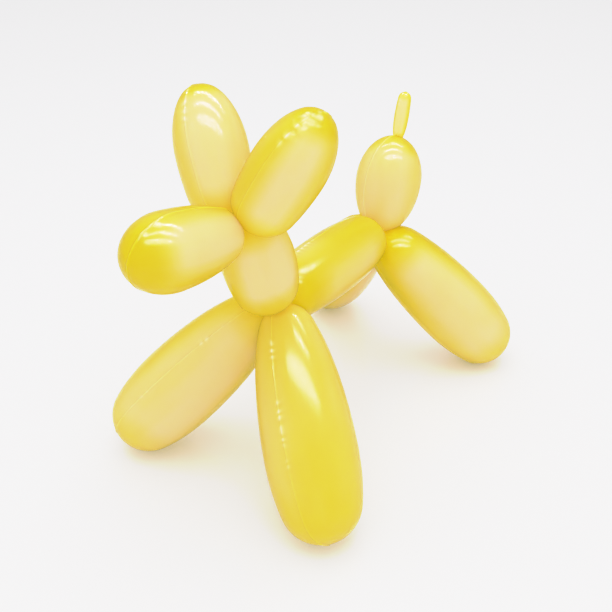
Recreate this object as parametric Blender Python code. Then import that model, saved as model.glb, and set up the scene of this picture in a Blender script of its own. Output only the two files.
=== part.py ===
"""Balloon dog ornament: one sealed, inflated film body.

A long tube of film is pinched at four knots into eleven lobes: snout, two ears, neck,
two front legs, body, two hind legs, tail and the thin end left over at the tail.
The sealed body is modelled as one closed solid.

Frame: metres, +Z up, the dog faces -Y, its left side is +X.
The origin is under the middle of the dog, on the ground between its feet.
"""
from math import acos, asin, cos, pi, radians, sin, sqrt

import bmesh
import bpy
from mathutils import Matrix, Vector

# ---------------------------------------------------------------- driving dimensions
# The four knots, as (Y, Z) in the dog's middle plane.
HEAD_KNOT = (-0.0755, 0.1865)
SHOULDER_KNOT = (-0.0435, 0.1175)
RUMP_KNOT = (0.0840, 0.1165)
TAIL_KNOT = (0.1093, 0.1856)

# Thickest radius of each lobe.
SNOUT_RADIUS = 0.0220
EAR_RADIUS = 0.0217
NECK_RADIUS = 0.0233
BODY_RADIUS = 0.0232
FRONT_LEG_RADIUS = 0.0300
HIND_LEG_RADIUS = 0.0294
TAIL_RADIUS = 0.0246
TAIL_END_RADIUS = 0.0054

# Far ends of the lobes that stand free, on the dog's left side where they are paired.
SNOUT_TIP = (0.0, -0.1603, 0.1988)
EAR_TIP = (0.0443, -0.0536, 0.2548)
FRONT_TOE = (0.0874, -0.1078, 0.0076)
HIND_TOE = (0.0873, 0.1457, 0.0070)
TAIL_END_TIP = (0.0, 0.1183, 0.2168)

# The film flattens by this much where a foot meets the ground.
FOOT_SQUASH = 0.0006

# The weld where the two halves of the film meet runs along both sides of every lobe.
SEAM_HEIGHT = 0.0008
SEAM_HALF_WIDTH = 0.0014

# Facets: strips between the two seams of a lobe, and rings along it. Near a lobe's ends the
# seam narrows to this share of one strip.
STRIPS = 11
NARROWEST_SEAM = 0.6
RINGS = 18
TAIL_END_STRIPS = 5
TAIL_END_RINGS = 9

YELLOW = (0.84, 0.66, 0.10, 1.0)
GROUND_SLAB = 1.0


# ---------------------------------------------------------------- the shape of one lobe
def ball_radius(along, fat, start_ball, end_ball, fattest):
    """Radius of the ball inside the lobe at 0..1 along the line of ball centres.

    start_ball and end_ball are the end balls' radii as a share of fat.
    """
    if along < fattest:
        fall = (1 - start_ball ** 2) * ((fattest - along) / fattest) ** 2
    else:
        fall = (1 - end_ball ** 2) * ((along - fattest) / (1 - fattest)) ** 2
    return fat * sqrt(1 - fall)


def lobe_outline(length, fat, start_ball, end_ball, fattest, steps=240):
    """Half outline of a lobe from pole to pole, as (distance along, radius) points.

    The lobe is the skin around a row of balls, so it ends in two round caps.
    """
    first = start_ball * fat
    span = length - (start_ball + end_ball) * fat
    small = 1e-4
    points = []
    for step in range(steps + 1):
        along = step / steps
        low = max(0.0, along - small)
        high = min(1.0, along + small)
        ball = ball_radius(along, fat, start_ball, end_ball, fattest)
        rise = (ball_radius(high, fat, start_ball, end_ball, fattest)
                - ball_radius(low, fat, start_ball, end_ball, fattest))
        slope = rise / ((high - low) * span)
        centre = first + span * along
        points.append((centre - ball * slope, ball * sqrt(1 - slope ** 2)))
        if step == 0:
            start_cap = (centre, ball, acos(-slope))
        if step == steps:
            end_cap = (centre, ball, acos(-slope))
    return arc(*start_cap[:2], pi, start_cap[2])[:-1] + points + arc(*end_cap, 0.0)[1:]


def arc(centre, radius, angle_from, angle_to, steps=24):
    """Points of a circle centred on the lobe's axis, between two angles from the axis."""
    turns = [angle_from + (angle_to - angle_from) * i / steps for i in range(steps + 1)]
    return [(centre + radius * cos(turn), radius * sin(turn)) for turn in turns]


def even_points(points, count):
    """The outline at count + 1 points spaced evenly along its own length."""
    travelled = [0.0]
    for (x0, r0), (x1, r1) in zip(points, points[1:]):
        travelled.append(travelled[-1] + sqrt((x1 - x0) ** 2 + (r1 - r0) ** 2))
    picked = []
    at = 0
    for i in range(count + 1):
        goal = travelled[-1] * i / count
        while at < len(points) - 2 and travelled[at + 1] < goal:
            at += 1
        share = (goal - travelled[at]) / (travelled[at + 1] - travelled[at])
        (x0, r0), (x1, r1) = points[at], points[at + 1]
        picked.append((x0 + (x1 - x0) * share, r0 + (r1 - r0) * share))
    return picked


def ring_points(radius, strips):
    """One ring of a lobe as (angle, radius), with a raised seam at angle 0 and at pi."""
    limit = NARROWEST_SEAM * pi / strips
    beside = min(limit, asin(min(1.0, SEAM_HALF_WIDTH / radius)))
    ring = []
    for start in (0.0, pi):
        ring.append((start, radius + SEAM_HEIGHT))
        for i in range(strips):
            ring.append((start + beside + (pi - 2 * beside) * i / (strips - 1), radius))
    return ring


def lobe_mesh(name, outline, strips):
    """A closed lobe turned about its own +Z axis, starting at its origin."""
    mesh_points = bmesh.new()
    first_pole = mesh_points.verts.new((0, 0, outline[0][0]))
    last_pole = mesh_points.verts.new((0, 0, outline[-1][0] + SEAM_HEIGHT))
    rings = []
    for along, radius in outline[1:-1]:
        places = [(r * cos(a), r * sin(a), along) for a, r in ring_points(radius, strips)]
        rings.append([mesh_points.verts.new(place) for place in places])
    count = len(rings[0])
    for i in range(count):
        j = (i + 1) % count
        mesh_points.faces.new((first_pole, rings[0][j], rings[0][i]))
        mesh_points.faces.new((last_pole, rings[-1][i], rings[-1][j]))
        for lower, upper in zip(rings, rings[1:]):
            mesh_points.faces.new((lower[i], lower[j], upper[j], upper[i]))
    bmesh.ops.recalc_face_normals(mesh_points, faces=mesh_points.faces)
    mesh = bpy.data.meshes.new(name)
    mesh_points.to_mesh(mesh)
    mesh_points.free()
    return mesh


def lobe(name, start, end, fat, start_ball, end_ball, fattest, seam_turn,
         strips=STRIPS, rings=RINGS):
    """A lobe standing from start to end.

    seam_turn is the angle of the seam about the lobe, from the side nearest straight up
    (or straight ahead on an upright lobe), turning towards the dog's left.
    """
    start = Vector(start)
    axis = Vector(end) - start
    outline = lobe_outline(axis.length, fat, start_ball, end_ball, fattest)
    mesh = lobe_mesh(name, even_points(outline, rings), strips)
    axis.normalize()
    upright = abs(axis.z) > 0.9
    ahead = Vector((0, -1, 0)) if upright else Vector((0, 0, 1))
    zero = (ahead - axis * ahead.dot(axis)).normalized()
    turn = Matrix((zero, axis.cross(zero), axis)).transposed().to_4x4()
    piece = bpy.data.objects.new(name, mesh)
    sink = Vector((0, 0, -FOOT_SQUASH))
    piece.matrix_world = (Matrix.Translation(start + sink) @ turn
                          @ Matrix.Rotation(radians(seam_turn), 4, "Z"))
    return piece


# ---------------------------------------------------------------- the eleven lobes
def middle(knot, behind=0.0, above=0.0):
    """A point in the middle plane, a little behind and above a knot."""
    return (0.0, knot[0] + behind, knot[1] + above)


def body_lobe():
    """The lobe between the shoulder knot and the rump knot, which the others join."""
    return lobe("balloon_dog", middle(SHOULDER_KNOT, behind=-0.0006, above=0.0005),
                middle(RUMP_KNOT, behind=-0.0027, above=0.0012), BODY_RADIUS,
                start_ball=0.875, end_ball=0.865, fattest=0.56, seam_turn=-15)


def middle_lobes():
    """The other lobes that lie in the dog's middle plane."""
    return [
        lobe("snout", middle(HEAD_KNOT, behind=-0.0045, above=-0.0023), SNOUT_TIP, SNOUT_RADIUS,
             start_ball=0.78, end_ball=0.80, fattest=0.77, seam_turn=-7),
        lobe("neck", middle(SHOULDER_KNOT, behind=-0.0032, above=0.0003),
             middle(HEAD_KNOT, behind=0.0047, above=0.0079), NECK_RADIUS,
             start_ball=0.94, end_ball=0.81, fattest=0.40, seam_turn=-20),
        lobe("tail", middle(RUMP_KNOT, behind=0.0076, above=-0.0008),
             middle(TAIL_KNOT, behind=-0.0020, above=0.0013), TAIL_RADIUS,
             start_ball=0.79, end_ball=0.76, fattest=0.58, seam_turn=-15),
        lobe("tail_end", middle(TAIL_KNOT, behind=0.0010, above=-0.0030), TAIL_END_TIP,
             TAIL_END_RADIUS, start_ball=0.69, end_ball=0.89, fattest=0.53, seam_turn=-15,
             strips=TAIL_END_STRIPS, rings=TAIL_END_RINGS),
    ]


def side_lobes(side):
    """The ear and the two legs of one side: 1 is the dog's left, -1 its right."""
    def across(x, y, z):
        return (side * x, y, z)

    hand = "left" if side > 0 else "right"
    ear_root = across(0.0078, HEAD_KNOT[0], HEAD_KNOT[1])
    front_root = across(0.0039, SHOULDER_KNOT[0] + 0.0029, SHOULDER_KNOT[1] - 0.0007)
    hind_root = across(0.0066, RUMP_KNOT[0] - 0.0021, RUMP_KNOT[1] + 0.0003)
    return [
        lobe(f"ear_{hand}", ear_root, across(*EAR_TIP), EAR_RADIUS,
             start_ball=0.92, end_ball=0.70, fattest=0.49, seam_turn=side * 50),
        lobe(f"front_leg_{hand}", front_root, across(*FRONT_TOE), FRONT_LEG_RADIUS,
             start_ball=0.62, end_ball=0.88, fattest=0.72, seam_turn=side * 42),
        lobe(f"hind_leg_{hand}", hind_root, across(*HIND_TOE), HIND_LEG_RADIUS,
             start_ball=0.74, end_ball=0.875, fattest=0.70, seam_turn=side * 145),
    ]


# ---------------------------------------------------------------- joining into one solid
def hidden_collection(name, pieces):
    """Guides for a Boolean: in the scene, but not part of the model."""
    collection = bpy.data.collections.new(name)
    bpy.context.scene.collection.children.link(collection)
    for piece in pieces:
        collection.objects.link(piece)
        piece.hide_render = True
        piece.display_type = "WIRE"
    return collection


def ground_slab():
    """A slab whose top face is the ground."""
    mesh_points = bmesh.new()
    bmesh.ops.create_cube(mesh_points, size=GROUND_SLAB)
    mesh = bpy.data.meshes.new("ground_slab")
    mesh_points.to_mesh(mesh)
    mesh_points.free()
    slab = bpy.data.objects.new("ground_slab", mesh)
    slab.location.z = -GROUND_SLAB / 2
    return slab


def add_boolean(target, name, operation, collection):
    """Join the target with every object of a collection, or cut them from it."""
    boolean = target.modifiers.new(name, "BOOLEAN")
    boolean.operation = operation
    boolean.solver = "EXACT"
    boolean.operand_type = "COLLECTION"
    boolean.collection = collection


def film_material():
    """Pearly yellow balloon film."""
    material = bpy.data.materials.new("pearl_yellow_film")
    material.use_nodes = True
    shader = material.node_tree.nodes["Principled BSDF"]
    shader.inputs["Base Color"].default_value = YELLOW
    shader.inputs["Roughness"].default_value = 0.22
    shader.inputs["Metallic"].default_value = 0.25
    shader.inputs["Coat Weight"].default_value = 0.5
    return material


def clear_scene():
    """Remove every object of the open file."""
    for thing in list(bpy.data.objects):
        bpy.data.objects.remove(thing, do_unlink=True)


def main():
    clear_scene()
    dog = body_lobe()
    bpy.context.scene.collection.objects.link(dog)
    dog.data.materials.append(film_material())
    dog.data.shade_smooth()
    lobes = middle_lobes() + side_lobes(1) + side_lobes(-1)
    for piece in lobes:
        piece.data.shade_smooth()
    add_boolean(dog, "join_lobes", "UNION", hidden_collection("lobes", lobes))
    add_boolean(dog, "flatten_feet", "DIFFERENCE", hidden_collection("ground", [ground_slab()]))


main()
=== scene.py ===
"""Looks of the balloon dog: one tube of pearly yellow film, pinched into eleven bubbles.

Metres, +Z up, the dog faces -Y and its left side is +X. The sections follow the dog from
its nose to the end of its tail, as the tube is twisted, and the studio comes last.
"""
from math import cos, log, pi, radians, sin

import bmesh
import bpy
from mathutils import Matrix, Vector


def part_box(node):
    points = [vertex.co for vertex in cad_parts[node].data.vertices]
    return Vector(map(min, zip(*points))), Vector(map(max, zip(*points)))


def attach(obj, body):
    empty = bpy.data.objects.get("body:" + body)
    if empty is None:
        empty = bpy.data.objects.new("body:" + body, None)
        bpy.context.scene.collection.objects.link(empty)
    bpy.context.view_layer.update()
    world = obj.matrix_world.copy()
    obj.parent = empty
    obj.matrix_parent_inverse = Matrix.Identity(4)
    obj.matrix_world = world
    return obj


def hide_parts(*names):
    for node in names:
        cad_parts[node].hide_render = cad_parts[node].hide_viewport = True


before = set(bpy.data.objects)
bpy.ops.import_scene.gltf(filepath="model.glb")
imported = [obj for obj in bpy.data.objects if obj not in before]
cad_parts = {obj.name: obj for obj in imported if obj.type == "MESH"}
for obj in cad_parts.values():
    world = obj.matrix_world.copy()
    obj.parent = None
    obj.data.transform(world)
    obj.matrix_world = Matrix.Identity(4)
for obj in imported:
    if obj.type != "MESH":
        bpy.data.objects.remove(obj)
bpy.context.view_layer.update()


# ---------------------------------------------------------------- snout
# The nose end of the tube, blown full: one bubble of soft film with a round free end.
# Like every bubble it is two strips of film welded edge to edge, so a fine raised weld
# runs along both sides, and the film puckers beside it where the weld holds it short.
class Field:
    """A number at every point of a mesh, written as arithmetic and kept as Math nodes."""

    def __init__(self, tree, source):
        self.tree = tree
        self.source = source

    def math(self, operation, *values):
        node = self.tree.nodes.new("ShaderNodeMath")
        node.operation = operation
        for socket, value in zip(node.inputs, values):
            if isinstance(value, Field):
                self.tree.links.new(value.source, socket)
            else:
                socket.default_value = value
        return Field(self.tree, node.outputs[0])

    def __add__(self, other):
        return self.math("ADD", self, other)

    def __sub__(self, other):
        return self.math("SUBTRACT", self, other)

    def __rsub__(self, other):
        return self.math("SUBTRACT", other, self)

    def __mul__(self, other):
        return self.math("MULTIPLY", self, other)

    def __truediv__(self, other):
        return self.math("DIVIDE", self, other)

    __radd__ = __add__
    __rmul__ = __mul__

    def sine(self):
        return self.math("SINE", self)

    def cosine(self):
        return self.math("COSINE", self)

    def arc_sine(self):
        return self.math("ARCSINE", self)

    def arc_cosine(self):
        return self.math("ARCCOSINE", self)

    def root(self):
        return self.math("SQRT", self)

    def turn_from(self, start):
        """The angle from a start to this one, brought between minus and plus half a turn."""
        return self.math("WRAP", self - start, pi, -pi)

    def soft_step(self):
        """0 below zero, 1 above one, and an S-shaped rise between."""
        share = self.at_least(0.0).at_most(1.0)
        return share * share * (3.0 - 2.0 * share)

    def between(self, start, end, edge):
        """1 from start to end and 0 beyond them, with S-shaped edges of a given width."""
        return ((self - start) / edge + 0.5).soft_step() * ((end - self) / edge + 0.5).soft_step()

    def size(self):
        return self.math("ABSOLUTE", self)

    def fading(self):
        """1 at zero, falling away smoothly as the number grows."""
        return self.math("EXPONENT", self * -1.0)

    def at_least(self, floor):
        return self.math("MAXIMUM", self, floor)

    def at_most(self, ceiling):
        return self.math("MINIMUM", self, ceiling)


def add_input(tree, name, kind, value=None):
    """A named input of a node group."""
    socket = tree.interface.new_socket(name, in_out="INPUT", socket_type=kind)
    if value is not None:
        socket.default_value = value
    return socket


PANELS = ("Front", "Back", "Side")


def bubble_tree():
    """Geometry Nodes that blow one bubble of film along +Z, from its root at the origin.

    The bubble is the skin round a row of balls, so both ends are round caps. Its mesh is a
    grid of rings and strips, with the strips bunched up at the two welds. Lengths are in
    metres, places, starts and ends are shares of the bubble's length, and stretch is 0 on
    thick film and 1 on thin.
    """
    tree = bpy.data.node_groups.new("blown_bubble", "GeometryNodeTree")
    sizes = {"Length": 0.08, "Thickest radius": 0.022, "Root ball": 0.8, "Tip ball": 0.8,
             "Thickest place": 0.5, "Weld height": 0.00035, "Weld width": 0.0007,
             "Pucker depth": 0.0002, "Pucker spacing": 0.0040, "Pucker reach": 0.0015,
             "Pucker patchiness": 0.5, "Crumpled from": 0.0, "Crumpled to": 1.0,
             "Nub height": 0.0004, "Slack depth": 0.00005, "Streaks": 0.30,
             "Pleat depth": 0.0, "Pleats": 16.0, "Tip pleats": 0.0, "Tip pressed": 0.0,
             "Seed": 0.0, "Root stretch": 0.3, "Tip stretch": 0.1,
             "Change start": 0.80, "Change end": 0.94}
    for panel in PANELS:
        sizes.update({f"{panel} centre": 0.0, f"{panel} half width": -1.0,
                      f"{panel} stretch": 0.0, f"{panel} start": 0.2, f"{panel} end": 0.85})
    for name, value in sizes.items():
        add_input(tree, name, "NodeSocketFloat", value)
    add_input(tree, "Rings", "NodeSocketInt", 120)
    add_input(tree, "Strips", "NodeSocketInt", 64)
    add_input(tree, "Film", "NodeSocketMaterial")
    tree.interface.new_socket("Geometry", in_out="OUTPUT", socket_type="NodeSocketGeometry")

    def new(kind, **links):
        node = tree.nodes.new(kind)
        for name, value in links.items():
            socket = node.inputs[name.replace("_", " ")]
            if isinstance(value, Field):
                value = value.source
            if isinstance(value, bpy.types.NodeSocket):
                tree.links.new(value, socket)
            else:
                socket.default_value = value
        return node

    given = tree.nodes.new("NodeGroupInput")

    def number(name):
        return Field(tree, given.outputs[name])

    def noise(spot, scale, seed):
        shifted = new("ShaderNodeVectorMath", Vector=spot)
        tree.links.new(seed.source, shifted.inputs[1])
        texture = new("ShaderNodeTexNoise", Vector=shifted.outputs["Vector"], Scale=scale, Detail=1.0)
        return Field(tree, texture.outputs["Fac"])

    length, fat = number("Length"), number("Thickest radius")
    root_ball, tip_ball, place = number("Root ball"), number("Tip ball"), number("Thickest place")

    # A flat grid one metre square: u runs from root to tip, v once round.
    grid = new("GeometryNodeMeshGrid")
    tree.links.new(given.outputs["Rings"], grid.inputs["Vertices X"])
    tree.links.new(given.outputs["Strips"], grid.inputs["Vertices Y"])
    flat = new("ShaderNodeSeparateXYZ", Vector=new("GeometryNodeInputPosition").outputs[0])
    u = Field(tree, flat.outputs["X"]) + 0.5
    v = Field(tree, flat.outputs["Y"]) + 0.5
    bunching = 0.40
    around = v * (2 * pi) - bunching * (v * (4 * pi)).sine()

    # The row of balls: its length, and how steeply its radius grows and shrinks at the ends.
    span = length - (root_ball + tip_ball) * fat
    root_fall = 1.0 - root_ball * root_ball
    tip_fall = 1.0 - tip_ball * tip_ball
    root_turn = (fat * root_fall / (place * root_ball * span)).arc_cosine()
    tip_turn = (fat * tip_fall / ((1.0 - place) * tip_ball * span)).arc_cosine()
    root_arc = root_ball * fat * root_turn
    tip_arc = tip_ball * fat * tip_turn
    travel = u * (root_arc + span + tip_arc)

    # Where this ring lies: on the root cap, along the row, or on the tip cap.
    on_root = (travel / root_arc).at_most(1.0)
    along = ((travel - root_arc) / span).at_least(0.0).at_most(1.0)
    on_tip = ((travel - root_arc - span) / tip_arc).at_least(0.0)
    before = (place - along).at_least(0.0) / place
    after = (along - place).at_least(0.0) / (1.0 - place)
    ball = fat * (1.0 - root_fall * before * before - tip_fall * after * after).root()
    growth = root_fall * before / place - tip_fall * after / (1.0 - place)
    slope = fat * fat * growth / (ball * span)
    lean = (slope * -1.0).arc_cosine() + root_turn * (1.0 - on_root) - tip_turn * on_tip
    radius = ball * lean.sine()
    height = root_ball * fat + span * along + ball * lean.cosine()

    outward = new("ShaderNodeCombineXYZ", X=lean.sine() * around.cosine(),
                  Y=lean.sine() * around.sine(), Z=lean.cosine()).outputs[0]
    aside_x, aside_y = radius * around.cosine(), radius * around.sine()
    smooth = new("ShaderNodeCombineXYZ", X=aside_x, Y=aside_y, Z=height).outputs[0]

    # The raised weld, and the puckers beside it: folds at an uneven beat, which come and go
    # in patches, die away from the weld, and stay clear of the poles of the grid.
    seed = number("Seed")
    share = height / length
    from_weld = radius * around.sine().arc_sine().size()
    weld = number("Weld height") * (1.0 - from_weld / number("Weld width")).at_least(0.0)
    unevenness, patch_contrast, crumple_edge, pucker_pole, flat_level = 2.2, 6.0, 0.1, 0.004, 0.6
    beat = travel / number("Pucker spacing") + unevenness * noise(smooth, scale=90.0, seed=seed)
    folds = (beat * pi).sine().size()
    patches = noise(smooth, scale=30.0, seed=seed + 7.0) - number("Pucker patchiness")
    crumpled = (share.between(number("Crumpled from"), number("Crumpled to"), crumple_edge)
                * (patches * patch_contrast).at_least(0.0).at_most(1.0))
    fade = (from_weld / number("Pucker reach")).fading() * (radius / pucker_pole).at_most(1.0)
    puckers = number("Pucker depth") * crumpled * fade * (folds - flat_level)

    # A small nub where the two welds meet at the tip.
    nub_radius = 0.0016
    at_tip = (share - 0.5).at_least(0.0) * 2.0
    nub = number("Nub height") * (radius / nub_radius).fading() * at_tip

    # A little slack in the film, in streaks drawn out along the bubble.
    streak_squeeze = 0.22
    drawn_out = new("ShaderNodeCombineXYZ", X=aside_x, Y=aside_y, Z=height * streak_squeeze).outputs[0]
    streak = noise(drawn_out, scale=70.0, seed=seed + 3.0) - 0.5
    slack = number("Slack depth") * streak

    # Pleats that wander a little, where the film is gathered at the ends.
    root_pleat_reach, root_pleat_pole = 0.35, 0.003
    tip_pleat_reach, tip_pleat_pole = 0.25, 0.008
    wander = 5.0
    gather = (height / (root_pleat_reach * length)).fading() * (radius / root_pleat_pole).at_most(1.0)
    gather = gather + (number("Tip pleats") * ((length - height) / (tip_pleat_reach * length)).fading()
                       * (radius / tip_pleat_pole).at_most(1.0))
    wave = (number("Pleats") * around + wander * streak).cosine()
    pleats = number("Pleat depth") * gather * wave
    relief = weld + puckers + slack + pleats + nub

    lift = new("ShaderNodeVectorMath")
    lift.operation = "SCALE"
    tree.links.new(outward, lift.inputs[0])
    tree.links.new(relief.source, lift.inputs["Scale"])
    place_out = new("ShaderNodeVectorMath")
    tree.links.new(smooth, place_out.inputs[0])
    tree.links.new(lift.outputs[0], place_out.inputs[1])

    # How far the film is stretched: it has broad thin patches with soft edges, and stays thick beside
    # the welds and round the free end. Pleats and streaks vary it finely. The thick film round the
    # patches is partly painted shade: the colour deepens towards the edges and undersides of each
    # bubble.
    side_edge, end_edge, pleat_shade = 0.85, 0.22, 300.0
    change = ((share - number("Change start"))
              / (number("Change end") - number("Change start"))).soft_step()
    stretch = number("Root stretch") + (number("Tip stretch") - number("Root stretch")) * change
    for panel in PANELS:
        aside = around.turn_from(number(f"{panel} centre")).size()
        across = ((number(f"{panel} half width") - aside) / side_edge + 0.5).soft_step()
        lengthwise = share.between(number(f"{panel} start"), number(f"{panel} end"), end_edge)
        stretch = stretch + (number(f"{panel} stretch") - stretch) * across * lengthwise
    stretch = (stretch + number("Streaks") * streak
               - number("Pleat depth") * pleat_shade * gather * wave)

    # The crests of the puckers close to the weld, where the material paints a highlight and a glint.
    crest_reach = 0.0008
    crest = (folds * 2.0 - 1.0).at_least(0.0) * crumpled * (from_weld / crest_reach).fading()

    # Near a knot, in the creases where the bubbles press together, the material paints an amber glow:
    # painted light in the creases.
    knot_reach = 0.010
    glowing = ((height / knot_reach).fading()
               + number("Tip pressed") * ((length - height) / knot_reach).fading())

    # All three are kept on the flat grid, before it is blown up, and by face corner, so that
    # two bubbles don't share a value where they meet.
    marked = grid.outputs["Mesh"]
    for name, field in (("stretch", stretch), ("crest", crest), ("glowing", glowing)):
        mark = new("GeometryNodeStoreNamedAttribute", Geometry=marked, Name=name, Value=field)
        mark.domain = "CORNER"
        marked = mark.outputs[0]
    blown = new("GeometryNodeSetPosition", Geometry=marked, Position=place_out.outputs[0])
    closed = new("GeometryNodeMergeByDistance", Geometry=blown.outputs[0], Distance=1e-6)
    real = new("GeometryNodeRealizeInstances", Geometry=closed.outputs[0])
    coated = new("GeometryNodeSetMaterial", Geometry=real.outputs[0], Material=given.outputs["Film"])
    result = tree.nodes.new("NodeGroupOutput")
    tree.links.new(coated.outputs[0], result.inputs[0])
    return tree


def film_material():
    """Soft pearly film, dyed yellow right through: pale where it is stretched thin. It also carries
    painted light: a glow all over, highlights and glints on the pucker crests, and amber light in the
    creases.
    """
    material = bpy.data.materials.new("pearl_yellow_film")
    material.use_nodes = True
    nodes, links = material.node_tree.nodes, material.node_tree.links
    shader = nodes["Principled BSDF"]
    # Emission Strength gives the film a painted glow: it shines by itself, standing in for light
    # passed through it.
    skin_values = {"Metallic": 0.0, "IOR": 1.22, "Subsurface Weight": 1.0,
                   "Subsurface Radius": (1.0, 1.0, 0.6), "Subsurface Scale": 0.016,
                   "Coat Weight": 1.0, "Coat IOR": 1.05, "Coat Tint": (0.89, 0.86, 0.78, 1.0),
                   "Emission Strength": 0.40}
    for name, value in skin_values.items():
        shader.inputs[name].default_value = value
    place = nodes.new("ShaderNodeTexCoord").outputs["Object"]

    def marked(name):
        mark = nodes.new("ShaderNodeAttribute")
        mark.attribute_name = name
        return mark.outputs["Fac"]

    def feed(socket, value):
        if isinstance(value, bpy.types.NodeSocket):
            links.new(value, socket)
        else:
            socket.default_value = value

    def math(operation, *values):
        node = nodes.new("ShaderNodeMath")
        node.operation = operation
        for socket, value in zip(node.inputs, values):
            feed(socket, value)
        return node.outputs[0]

    def mixed(blend_type, factor, first, second):
        node = nodes.new("ShaderNodeMix")
        node.data_type = "RGBA"
        node.blend_type = blend_type
        for name, value in (("Factor", factor), ("A", first), ("B", second)):
            feed(node.inputs[name], value)
        return node.outputs["Result"]

    def noise(scale, detail):
        texture = nodes.new("ShaderNodeTexNoise")
        texture.inputs["Scale"].default_value = scale
        texture.inputs["Detail"].default_value = detail
        links.new(place, texture.inputs["Vector"])
        return texture.outputs["Fac"]

    # Thick film is deep lemon. Stretched thin, it lets blue through and more light out. On the crests
    # of the puckers it is paled as well, a painted highlight. Faint clouds vary it over the whole dog.
    thick, thin_film = (0.570, 0.416, 0.0100), (0.762, 0.520, 0.300)
    shades = 6
    crest_highlight_paling = 0.8
    cloud_strength = 0.12
    cloud = math("MULTIPLY_ADD", noise(scale=26.0, detail=2.0), cloud_strength, -cloud_strength / 2)
    stretch = math("ADD", marked("stretch"), cloud)
    # Painted highlight: the dye is paled on the pucker crests.
    stretch = math("ADD", stretch, math("MULTIPLY", marked("crest"), crest_highlight_paling))
    dye = nodes.new("ShaderNodeValToRGB")
    for i in range(1, shades - 1):
        dye.color_ramp.elements.new(i / (shades - 1))
    for i in range(shades):
        share = i / (shades - 1)
        shade = [deep * (pale / deep) ** share for deep, pale in zip(thick, thin_film)]
        dye.color_ramp.elements[i].color = (*shade, 1.0)
    links.new(stretch, dye.inputs["Fac"])
    links.new(dye.outputs["Color"], shader.inputs["Base Color"])

    # Painted light: the film glows by itself in a lemon tint of its dye, standing in for light passed
    # through the bubbles. On the crests of the puckers the glow turns near white, a painted glint, and
    # at the knots it turns amber, painted light in the creases.
    painted_glow_tint, painted_glint, painted_crease_amber = (0.70, 1.15, 0.65, 1.0), (2.4, 2.4, 2.2, 1.0), (0.75, 0.42, 0.02, 1.0)
    painted_glint_share = 0.8
    glow = mixed("MULTIPLY", 1.0, dye.outputs["Color"], painted_glow_tint)
    # Painted glint: the glow turns near white on the pucker crests.
    glow = mixed("MIX", math("MULTIPLY", marked("crest"), painted_glint_share), glow, painted_glint)
    # Painted light in the creases: an amber glow is added near the knots.
    glow = mixed("ADD", marked("glowing"), glow, painted_crease_amber)
    links.new(glow, shader.inputs["Emission Color"])

    # A skin like soft vinyl: a little hazier in places, with a grain too fine to see.
    clear, haze = 0.135, 0.05
    grain = nodes.new("ShaderNodeBump")
    grain.inputs["Strength"].default_value = 0.15
    grain.inputs["Distance"].default_value = 0.0001
    links.new(noise(scale=900.0, detail=2.0), grain.inputs["Height"])
    links.new(grain.outputs["Normal"], shader.inputs["Normal"])
    roughness = math("MULTIPLY_ADD", noise(scale=60.0, detail=3.0), haze, clear)
    links.new(roughness, shader.inputs["Roughness"])
    return material


BUBBLES = []
BUBBLE_TREE = bubble_tree()
FILM = film_material()
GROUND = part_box("balloon_dog")[0][2]
RING_SPACING = 0.00085
CAPS = 1.2     # how much further the rings go than the bubble's length, in thickest radii
UPRIGHT = 0.9  # a bubble whose axis climbs by more than this share counts as upright


def set_input(modifier, name, value):
    """Set a Geometry Nodes input by its socket's identifier."""
    sockets = modifier.node_group.interface.items_tree
    key = next(socket.identifier for socket in sockets if socket.name == name)
    modifier[key] = value


def thin(panel, centre, half_width, stretch, start, end):
    """Inputs for one thin patch of a bubble.

    Angles are in degrees from its weld, and start and end are shares of its length.
    """
    return {f"{panel} centre": radians(centre), f"{panel} half width": radians(half_width),
            f"{panel} stretch": stretch, f"{panel} start": start, f"{panel} end": end}


def bubble(name, root, tip, fat, root_ball, tip_ball, place, weld_turn, **sizes):
    """Blow one bubble from root to tip and keep its mesh for the fused film.

    weld_turn is the angle of the weld about the bubble, in degrees, from the side nearest
    straight up (straight ahead on an upright bubble), turning towards the dog's left.
    """
    root, tip = Vector(root), Vector(tip)
    axis = tip - root
    mesh = bpy.data.meshes.new(name)
    piece = bpy.data.objects.new(name, mesh)
    bpy.context.scene.collection.objects.link(piece)
    modifier = piece.modifiers.new("blow", "NODES")
    modifier.node_group = BUBBLE_TREE
    values = {"Length": axis.length, "Thickest radius": fat, "Root ball": root_ball,
              "Tip ball": tip_ball, "Thickest place": place, "Film": FILM,
              "Rings": int((axis.length + CAPS * fat) / RING_SPACING)}
    for socket_name, value in {**values, **sizes}.items():
        set_input(modifier, socket_name.replace("_", " "), value)
    seen = piece.evaluated_get(bpy.context.evaluated_depsgraph_get())
    blown = bpy.data.meshes.new_from_object(seen)
    piece.modifiers.clear()
    piece.data = blown

    axis.normalize()
    ahead = Vector((0, -1, 0)) if abs(axis.z) > UPRIGHT else Vector((0, 0, 1))
    zero = (ahead - axis * ahead.dot(axis)).normalized()
    turn = Matrix((zero, axis.cross(zero), axis)).transposed().to_4x4()
    blown.transform(Matrix.Translation(root) @ turn @ Matrix.Rotation(radians(weld_turn), 4, "Z"))
    for point in blown.vertices:
        point.co.z = max(point.co.z, GROUND)
    cleaned = bmesh.new()
    cleaned.from_mesh(blown)
    bmesh.ops.recalc_face_normals(cleaned, faces=cleaned.faces)
    cleaned.to_mesh(blown)
    cleaned.free()
    BUBBLES.append(piece)


# The whole dog sinks this far, until its soft feet are pressed flat. A knot is given by its
# place in the dog's middle plane, as y and z.
SINK = 0.0006
HEAD_KNOT = (-0.0755, 0.1865 - SINK)
SNOUT_TIP = (0.0, -0.1603, 0.1988 - SINK)


def middle(knot, behind=0.0, above=0.0):
    """A point in the dog's middle plane, a little behind and above a knot."""
    return (0.0, knot[0] + behind, knot[1] + above)


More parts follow.
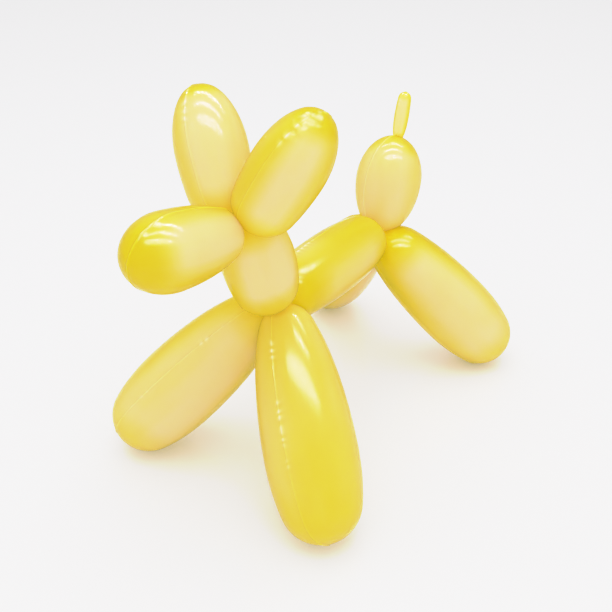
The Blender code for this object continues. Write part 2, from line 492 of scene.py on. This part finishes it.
bubble("snout", root=middle(HEAD_KNOT, behind=-0.0045, above=-0.0023), tip=SNOUT_TIP,
       fat=0.0220, root_ball=0.78, tip_ball=0.80, place=0.77, weld_turn=-7, Seed=1.0,
       Crumpled_from=0.45, Pucker_depth=0.0001,
       Pleat_depth=0.00006, Pleats=20.0, Tip_pleats=1.0,
       Root_stretch=0.33, Tip_stretch=0.05,
       **thin("Front", centre=-58, half_width=40, stretch=1.0, start=0.06, end=0.85),
       **thin("Back", centre=75, half_width=30, stretch=0.7, start=0.2, end=0.8))


# ---------------------------------------------------------------- ears
# Two bubbles folded up side by side and twisted together at the head knot. Their film is
# blown tight, so only the last stretch of weld at the tips is crumpled.
SIDES = (("left", 1), ("right", -1))


def on_side(side, place):
    """A point on the dog's left, or its mirror image on the right for a side of -1."""
    return (side * place[0], place[1], place[2])


EAR_ROOT = (0.0078, *HEAD_KNOT)
EAR_TIP = (0.0443, -0.0536, 0.2548 - SINK)
EAR_FILM = {
    "left": dict(Pucker_depth=0.0006, Pucker_reach=0.004, Root_stretch=0.33,
                 **thin("Front", centre=45, half_width=36, stretch=0.97, start=0.16, end=0.91)),
    "right": dict(Pucker_depth=0.0003, Pucker_reach=0.0015, Root_stretch=0.60,
                  **thin("Front", centre=45, half_width=54, stretch=0.97, start=0.16, end=0.91)),
}
for hand, side in SIDES:
    bubble(f"ear_{hand}", root=on_side(side, EAR_ROOT), tip=on_side(side, EAR_TIP),
           fat=0.0217, root_ball=0.92, tip_ball=0.70, place=0.49, weld_turn=side * 50,
           Seed=2.0 + side, Crumpled_from=0.72, Pucker_patchiness=0.3,
           Tip_stretch=-0.2, Change_start=0.86, Change_end=0.96, **EAR_FILM[hand],
           **thin("Back", centre=-100, half_width=35, stretch=0.8, start=0.2, end=0.85),
           **thin("Side", centre=-44, half_width=22, stretch=0.64, start=0.05, end=0.80))


# ---------------------------------------------------------------- neck
# A short bubble squeezed between the head knot and the shoulder knot, almost round. The
# twists hold it at both ends, and its film is pale all round.
SHOULDER_KNOT = (-0.0435, 0.1175 - SINK)
bubble("neck", root=middle(SHOULDER_KNOT, behind=-0.0032, above=0.0003),
       tip=middle(HEAD_KNOT, behind=0.0047, above=0.0079),
       fat=0.0233, root_ball=0.94, tip_ball=0.81, place=0.40, weld_turn=-20,
       Seed=4.0, Crumpled_to=0.0, Tip_pressed=1.0, Root_stretch=0.40, Tip_stretch=0.4,
       **thin("Front", centre=80, half_width=53, stretch=1.0, start=0.31, end=0.84),
       **thin("Back", centre=-92, half_width=62, stretch=0.88, start=0.16, end=0.86))


# ---------------------------------------------------------------- front legs
# Two long bubbles folded down and spread apart. They are the fattest, because the air
# pressed out of the neck and body goes there, and each rests on a small flattened patch.
FRONT_HIP = (0.0039, SHOULDER_KNOT[0] + 0.0029, SHOULDER_KNOT[1] - 0.0007)
FRONT_TOE = (0.0874, -0.1078, 0.0076 - SINK)
FRONT_FILM = {
    "left": dict(Root_stretch=0.60, Tip_stretch=0.42,
                 **thin("Front", centre=-92, half_width=24, stretch=0.66, start=0.06, end=0.86),
                 **thin("Side", centre=15, half_width=22, stretch=0.74, start=0.22, end=0.82)),
    "right": dict(Root_stretch=0.28, Tip_stretch=0.62,
                  **thin("Front", centre=-34, half_width=56, stretch=1.0, start=0.10, end=0.84),
                  **thin("Side", centre=4, half_width=16, stretch=0.87, start=0.22, end=0.78)),
}
for hand, side in SIDES:
    bubble(f"front_leg_{hand}", root=on_side(side, FRONT_HIP), tip=on_side(side, FRONT_TOE),
           fat=0.0300, root_ball=0.62, tip_ball=0.88, place=0.72, weld_turn=side * 42,
           Seed=5.0 + side, Weld_height=0.0004, Crumpled_from=0.18, Crumpled_to=0.66,
           Pucker_patchiness=0.46, Pucker_depth=0.0007, Pucker_spacing=0.0055,
           Pucker_reach=0.0016, Change_start=0.1, Change_end=0.9, **FRONT_FILM[hand],
           **thin("Back", centre=110, half_width=40, stretch=0.6, start=0.2, end=0.8))


# ---------------------------------------------------------------- body
# The level bubble between the shoulder knot and the rump knot, held by the twists at both
# ends. Its weld is crumpled beside the shoulders, and its film is gathered in pleats there.
RUMP_KNOT = (0.0840, 0.1165 - SINK)
bubble("body", root=middle(SHOULDER_KNOT, behind=-0.0006, above=0.0005),
       tip=middle(RUMP_KNOT, behind=-0.0027, above=0.0012),
       fat=0.0232, root_ball=0.875, tip_ball=0.865, place=0.56, weld_turn=-15,
       Seed=7.0, Crumpled_to=0.40, Pucker_depth=0.0005, Pucker_reach=0.003,
       Pucker_patchiness=0.3, Pleat_depth=0.0001, Pleats=18.0, Tip_pressed=1.0,
       Root_stretch=-0.2, Tip_stretch=0.26, Change_start=0.02, Change_end=0.25,
       **thin("Front", centre=99, half_width=34, stretch=0.80, start=0.25, end=0.80),
       **thin("Back", centre=-115, half_width=30, stretch=0.75, start=0.25, end=0.78),
       **thin("Side", centre=7, half_width=22, stretch=0.72, start=0.16, end=0.44))


# ---------------------------------------------------------------- hind legs
# Two bubbles like the front legs, folded down from the rump knot and spread backwards. The
# film is thick and pleated beside the knot, and smooth and pale further down.
HIND_HIP = (0.0066, RUMP_KNOT[0] - 0.0021, RUMP_KNOT[1] + 0.0003)
HIND_TOE = (0.0873, 0.1457, 0.0070 - SINK)
for hand, side in SIDES:
    bubble(f"hind_leg_{hand}", root=on_side(side, HIND_HIP), tip=on_side(side, HIND_TOE),
           fat=0.0294, root_ball=0.74, tip_ball=0.875, place=0.70, weld_turn=side * 145,
           Seed=8.0 + side, Crumpled_to=0.0, Pleat_depth=0.0001, Pleats=16.0,
           Root_stretch=-0.15, Tip_stretch=0.55, Change_start=0.0, Change_end=0.6,
           **thin("Front", centre=-72, half_width=47, stretch=0.97, start=0.10, end=0.86),
           **thin("Back", centre=56, half_width=40, stretch=0.95, start=0.2, end=0.9))


# ---------------------------------------------------------------- tail
# One egg-shaped bubble standing up from the rump knot, and above it the last of the tube,
# left unblown as a thin finger with a few gathers where it leaves the bubble.
TAIL_KNOT = (0.1093, 0.1856 - SINK)
TAIL_END_TIP = (0.0, 0.1183, 0.2168 - SINK)
bubble("tail", root=middle(RUMP_KNOT, behind=0.0076, above=-0.0008),
       tip=middle(TAIL_KNOT, behind=-0.0020, above=0.0013),
       fat=0.0246, root_ball=0.79, tip_ball=0.76, place=0.58, weld_turn=-15,
       Seed=10.0, Crumpled_to=0.0, Weld_height=0.0005, Root_stretch=0.78, Tip_stretch=0.25,
       **thin("Front", centre=34, half_width=50, stretch=0.95, start=0.14, end=0.94),
       **thin("Back", centre=-100, half_width=40, stretch=0.9, start=0.2, end=0.85))
bubble("tail_end", root=middle(TAIL_KNOT, behind=0.0010, above=-0.0030), tip=TAIL_END_TIP,
       fat=0.0054, root_ball=0.69, tip_ball=0.89, place=0.53, weld_turn=-15,
       Seed=11.0, Weld_height=0.0002, Nub_height=0.0, Pucker_depth=0.0001,
       Pleat_depth=0.0003, Pleats=9.0,
       Root_stretch=0.1, Tip_stretch=0.3, Change_start=0.0, Change_end=0.6,
       **thin("Front", centre=34, half_width=50, stretch=0.97, start=0.1, end=0.9),
       **thin("Back", centre=-120, half_width=40, stretch=0.9, start=0.2, end=0.9))


# ---------------------------------------------------------------- one skin of film
# The bubbles are one tube of film, so they are fused into one closed skin. Where two
# bubbles press together the film meets in a sharp crease.
CREASE_ANGLE = 42
skin = BUBBLES[0]
others = bpy.data.collections.new("bubbles_to_fuse")
for piece in BUBBLES[1:]:
    bpy.context.scene.collection.objects.unlink(piece)
    others.objects.link(piece)
bpy.context.scene.collection.children.link(others)
fuse = skin.modifiers.new("fuse", "BOOLEAN")
fuse.operation = "UNION"
fuse.operand_type = "COLLECTION"
fuse.collection = others
fuse.solver = "MANIFOLD"
joined = skin.evaluated_get(bpy.context.evaluated_depsgraph_get())
fused = bpy.data.meshes.new_from_object(joined)
for piece in BUBBLES:
    bpy.data.objects.remove(piece, do_unlink=True)
dog = bpy.data.objects.new("balloon_film", fused)
bpy.context.scene.collection.objects.link(dog)
fused.materials.clear()
fused.materials.append(FILM)
fused.polygons.foreach_set("material_index", [0] * len(fused.polygons))
fused.shade_smooth()
fused.set_sharp_from_angle(angle=radians(CREASE_ANGLE))
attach(dog, "root")
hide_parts("balloon_dog")


# ---------------------------------------------------------------- studio
# A plain pale floor, three strip softboxes across the ceiling with a wide soft light above
# them, and the camera looking down on the dog from its front left.
FLOOR_REACH = 6.0
FLOOR_GAP = 0.0002
floor_mesh = bpy.data.meshes.new("floor")
corners = [(x * FLOOR_REACH, y * FLOOR_REACH) for x, y in ((-1, -1), (1, -1), (1, 1), (-1, 1))]
floor_mesh.from_pydata([(x, y, GROUND - FLOOR_GAP) for x, y in corners], [], [(0, 1, 2, 3)])
floor = bpy.data.objects.new("floor", floor_mesh)
bpy.context.scene.collection.objects.link(floor)
paper = bpy.data.materials.new("pale_floor")
paper.use_nodes = True
paper_shader = paper.node_tree.nodes["Principled BSDF"]
paper_shader.inputs["Base Color"].default_value = (0.83, 0.79, 0.82, 1.0)
paper_shader.inputs["Emission Color"].default_value = (1.0, 1.0, 1.0, 1.0)
paper_shader.inputs["Emission Strength"].default_value = 0.10
paper_shader.inputs["Roughness"].default_value = 0.12
floor_mesh.materials.append(paper)

AIM = Vector((0.0307, -0.0516, 0.1300))
CAMERA_AZIMUTH = radians(35.1)
CAMERA_ELEVATION = radians(31.8)
CAMERA_DISTANCE = 0.4772
LENS = 45.7
back = Vector((sin(CAMERA_AZIMUTH) * cos(CAMERA_ELEVATION),
               -cos(CAMERA_AZIMUTH) * cos(CAMERA_ELEVATION), sin(CAMERA_ELEVATION)))
camera = bpy.data.objects.new("camera", bpy.data.cameras.new("camera"))
camera.data.lens = LENS
camera.data.clip_start = 0.01
camera.location = AIM + back * CAMERA_DISTANCE
camera.rotation_euler = (-back).to_track_quat("-Z", "Y").to_euler()
bpy.context.scene.collection.objects.link(camera)
bpy.context.scene.camera = camera


def softbox(name, place, aim, width, depth, power, color=(1.0, 1.0, 1.0)):
    """An oval soft light that faces its aim, its width across the camera's view."""
    light = bpy.data.lights.new(name, "AREA")
    light.shape = "ELLIPSE"
    light.size = width
    light.size_y = depth
    light.energy = power
    light.color = color
    box = bpy.data.objects.new(name, light)
    towards = Vector(aim) - Vector(place)
    across = Vector((cos(CAMERA_AZIMUTH), sin(CAMERA_AZIMUTH), 0))
    box_z = -towards.normalized()
    box_x = (across - box_z * across.dot(box_z)).normalized()
    turn = Matrix((box_x, box_z.cross(box_x), box_z)).transposed().to_4x4()
    box.matrix_world = Matrix.Translation(place) @ turn
    bpy.context.scene.collection.objects.link(box)
    return box


# Each strip: how far beyond the dog and how far to the right it hangs, its width and depth,
# and its power. The strips show only in gloss, and light nothing else.
STRIP_HEIGHT = 1.7
CEILING_RISE = 2.2
STRIPS = ((-0.65, 0.20, 2.2, 0.38, 104.0),
          (-0.02, 0.10, 2.1, 0.16, 74.0),
          (0.64, 0.20, 2.2, 0.17, 88.0))
AWAY = Vector((-sin(CAMERA_AZIMUTH), cos(CAMERA_AZIMUTH), 0))
RIGHT = Vector((cos(CAMERA_AZIMUTH), sin(CAMERA_AZIMUTH), 0))
for i, (away, aside, width, depth, power) in enumerate(STRIPS):
    spot = AIM + AWAY * away + RIGHT * aside + Vector((0, 0, STRIP_HEIGHT - AIM.z))
    strip = softbox(f"strip_{i}", spot, AIM, width, depth, power)
    strip.visible_diffuse = False
ceiling = softbox("ceiling", AIM + Vector((0, 0, CEILING_RISE)), AIM, width=2.0, depth=2.0,
                  power=25.0, color=(0.88, 1.0, 0.98))
ceiling.visible_glossy = False

world = bpy.data.worlds.new("studio")
world.use_nodes = True
bpy.context.scene.world = world
world_nodes = world.node_tree.nodes
world_links = world.node_tree.links
background = world_nodes["Background"]
background.inputs["Color"].default_value = (1.0, 1.0, 1.0, 1.0)
look = world_nodes.new("ShaderNodeTexCoord").outputs["Generated"]


def toward(direction, low, high, from_min, from_max):
    """A light level that runs from low to high as the view turns towards a direction."""
    dot = world_nodes.new("ShaderNodeVectorMath")
    dot.operation = "DOT_PRODUCT"
    world_links.new(look, dot.inputs[0])
    dot.inputs[1].default_value = Vector(direction).normalized()
    level = world_nodes.new("ShaderNodeMapRange")
    level.interpolation_type = "SMOOTHSTEP"
    limits = {"From Min": from_min, "From Max": from_max, "To Min": low, "To Max": high}
    for name, value in limits.items():
        level.inputs[name].default_value = value
    world_links.new(dot.outputs["Value"], level.inputs["Value"])
    return level.outputs["Result"]


def blend(share, first, second):
    """Mix two light levels."""
    mix = world_nodes.new("ShaderNodeMix")
    world_links.new(share, mix.inputs["Factor"])
    for socket, value in ((mix.inputs["A"], first), (mix.inputs["B"], second)):
        if isinstance(value, float):
            socket.default_value = value
        else:
            world_links.new(value, socket)
    return mix.outputs["Result"]


# The room lights the dog evenly, a little more from above. In reflections it is dimmer, and
# brightest low down on the camera's side.
BACKDROP = 1.14
ray = world_nodes.new("ShaderNodeLightPath")
room = toward((0, 0, 1), low=BACKDROP, high=1.24, from_min=0.0, from_max=1.0)
reflected = toward((0.75, -0.62, -0.25), low=0.6, high=0.9, from_min=-0.7, from_max=0.9)
for_lighting = blend(ray.outputs["Is Glossy Ray"], room, reflected)
strength = blend(ray.outputs["Is Camera Ray"], for_lighting, BACKDROP)
world_links.new(strength, background.inputs["Strength"])

# A soft shoulder in the picture's tones, so that no highlight or pale floor burns out.
KNEE = 0.79
SHOULDER = 0.24
TONE_STEP = 1.13
TONE_POINTS = 11
view = bpy.context.scene.view_settings
view.view_transform = "Standard"
view.use_curve_mapping = True
tones = view.curve_mapping
tones.clip_max_x = 4.0
tones.clip_max_y = 2.0
tones.use_clip = False
tones.extend = "EXTRAPOLATED"
combined = tones.curves[3]
combined.points[0].location = (0.0, 0.0)
combined.points[1].location = (KNEE, KNEE)
for i in range(1, TONE_POINTS + 1):
    bright = KNEE * TONE_STEP ** i
    combined.points.new(bright, KNEE + SHOULDER * log(bright / KNEE))
for point in combined.points:
    point.handle_type = "VECTOR"
tones.update()
